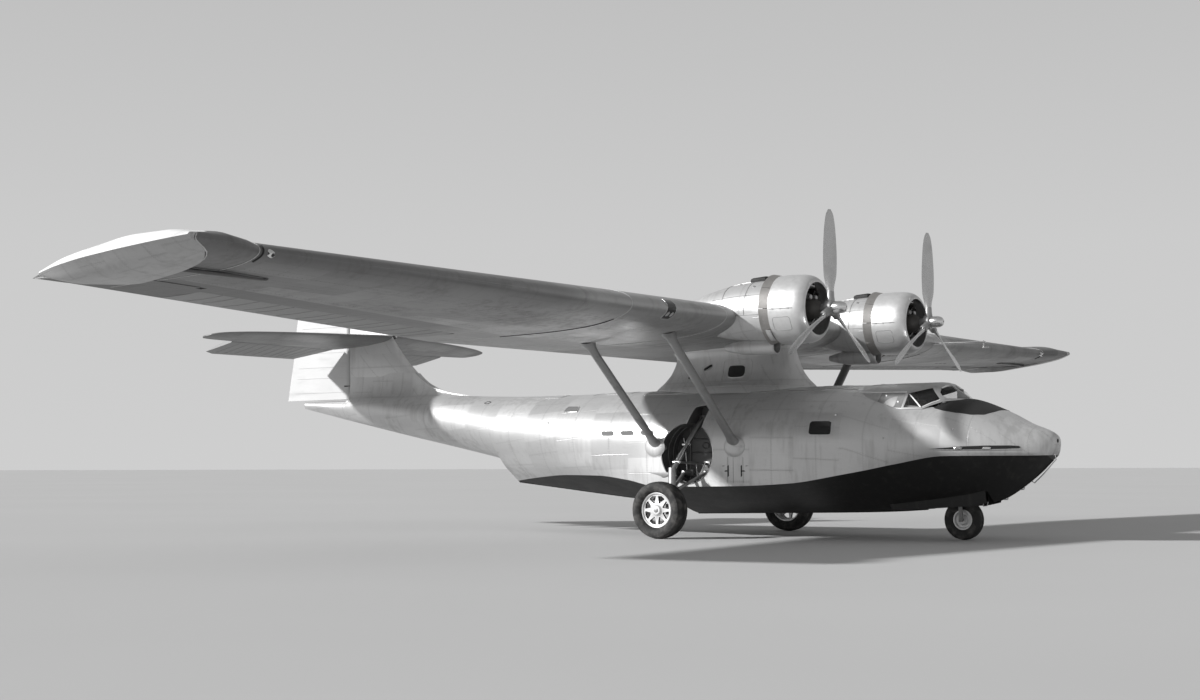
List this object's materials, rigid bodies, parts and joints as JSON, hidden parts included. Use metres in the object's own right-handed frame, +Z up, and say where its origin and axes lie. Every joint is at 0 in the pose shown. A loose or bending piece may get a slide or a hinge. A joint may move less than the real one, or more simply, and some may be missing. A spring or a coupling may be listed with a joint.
{
  "type": "flying boat",
  "caption": "Amphibian flying boat on its wheels: parasol wing on a pylon, twin radial engines, stepped hull, folding wing-tip floats.",
  "frame": {"origin": "on the ground under the middle of the overall box", "axes": "+X towards the nose, +Y to port, +Z up"},
  "size_m": [19.47, 31.7, 6.15],
  "materials": {
    "silver_skin": "natural metal skin, weathered",
    "dark_skin": "grey metal",
    "black_bottom": "matt black bottom paint",
    "control_fabric": "doped silver",
    "tyre_rubber": "worn rubber",
    "cast_wheel": "bright cast metal",
    "gear_steel": "oiled steel",
    "engine_iron": "dark oily metal",
    "prop_metal": "polished metal",
    "window_glass": "clear",
    "seat_leather": "worn leather"
  },
  "bodies": {
    "airframe": {"hull_bow": "silver_skin", "canopy": "silver_skin", "hull_mid": "silver_skin", "hull_aft": "silver_skin", "bottom_fore": "black_bottom", "bottom_aft": "black_bottom", "tail_cone": "silver_skin", "fin": "silver_skin", "wing_centre": "silver_skin", "pylon": "silver_skin", "instrument_panel": "dark_skin", "control_yoke": "gear_steel", "pitot_boom": "gear_steel", "tailplane_port": "silver_skin", "tailplane_starboard": "silver_skin", "side_window_port": "window_glass", "side_window_starboard": "window_glass", "windscreen_port": "window_glass", "windscreen_starboard": "window_glass", "seat_port": "seat_leather", "seat_starboard": "seat_leather", "wing_outer_port": "silver_skin", "wing_outer_starboard": "silver_skin", "strut_front_port": "dark_skin", "strut_front_starboard": "dark_skin", "strut_rear_port": "dark_skin", "strut_rear_starboard": "dark_skin", "nacelle_port": "silver_skin", "nacelle_starboard": "silver_skin", "cowl_port": "silver_skin", "cowl_starboard": "silver_skin", "cowl_flaps_port": "dark_skin", "cowl_flaps_starboard": "dark_skin", "engine_port": "engine_iron", "engine_starboard": "engine_iron", "oil_cooler_port": "silver_skin", "oil_cooler_starboard": "silver_skin", "main_leg_port": "gear_steel", "main_leg_starboard": "gear_steel", "nose_leg": "gear_steel"},
    "rudder": {"rudder": "control_fabric"},
    "elevators": {"elevator_port": "control_fabric", "elevator_starboard": "control_fabric"},
    "aileron_port": {"aileron_port": "control_fabric"},
    "aileron_starboard": {"aileron_starboard": "control_fabric"},
    "float_port": {"float_port": "silver_skin", "float_frame_port": "gear_steel"},
    "float_starboard": {"float_starboard": "silver_skin", "float_frame_starboard": "gear_steel"},
    "propeller_port": {"propeller_port": "prop_metal"},
    "propeller_starboard": {"propeller_starboard": "prop_metal"},
    "main_wheel_port": {"main_wheel_port": "cast_wheel", "main_tyre_port": "tyre_rubber"},
    "main_wheel_starboard": {"main_wheel_starboard": "cast_wheel", "main_tyre_starboard": "tyre_rubber"},
    "nose_fork": {"nose_fork": "gear_steel"},
    "nose_wheel": {"nose_wheel": "cast_wheel", "nose_tyre": "tyre_rubber"}
  },
  "joints": [
    {"name": "rudder_hinge", "type": "hinge", "parent": "airframe", "child": "rudder", "pos_m": [-7.745, 0, 4], "axis": [0, 0, 1], "range_deg": [-24, 24]},
    {"name": "elevator_hinge", "type": "hinge", "parent": "airframe", "child": "elevators", "pos_m": [-7.977, 0, 4.202], "axis": [0, 1, 0], "range_deg": [-12, 37]},
    {"name": "aileron_port_hinge", "type": "hinge", "parent": "airframe", "child": "aileron_port", "pos_m": [1.18228, 6.9, 3.93036], "axis": [0.0369, 0.9988, 0.0313], "range_deg": [-20, 25]},
    {"name": "aileron_starboard_hinge", "type": "hinge", "parent": "airframe", "child": "aileron_starboard", "pos_m": [1.18228, -6.9, 3.93036], "axis": [-0.0369, 0.9988, -0.0313], "range_deg": [-20, 25]},
    {"name": "float_port_hinge", "type": "hinge", "parent": "airframe", "child": "float_port", "pos_m": [2.385, 13.35, 4.08413], "axis": [1, 0, 0], "range_deg": [-88, 0]},
    {"name": "float_starboard_hinge", "type": "hinge", "parent": "airframe", "child": "float_starboard", "pos_m": [2.385, -13.35, 4.08413], "axis": [1, 0, 0], "range_deg": [0, 88]},
    {"name": "propeller_port_spin", "type": "hinge", "parent": "airframe", "child": "propeller_port", "pos_m": [6.235, 2.11, 4.3], "axis": [1, 0, 0], "continuous": true},
    {"name": "propeller_starboard_spin", "type": "hinge", "parent": "airframe", "child": "propeller_starboard", "pos_m": [6.235, -2.11, 4.3], "axis": [1, 0, 0], "continuous": true},
    {"name": "main_wheel_port_spin", "type": "hinge", "parent": "airframe", "child": "main_wheel_port", "pos_m": [2.735, 2.53, 0.55], "axis": [0, 1, 0], "continuous": true},
    {"name": "main_wheel_starboard_spin", "type": "hinge", "parent": "airframe", "child": "main_wheel_starboard", "pos_m": [2.735, -2.53, 0.55], "axis": [0, 1, 0], "continuous": true},
    {"name": "nose_wheel_steer", "type": "hinge", "parent": "airframe", "child": "nose_fork", "pos_m": [7.885, 0, 0.9], "axis": [0, 0, 1], "range_deg": [-30, 30]},
    {"name": "nose_wheel_spin", "type": "hinge", "parent": "nose_fork", "child": "nose_wheel", "pos_m": [7.885, 0, 0.38], "axis": [0, 1, 0], "continuous": true}
  ]
}
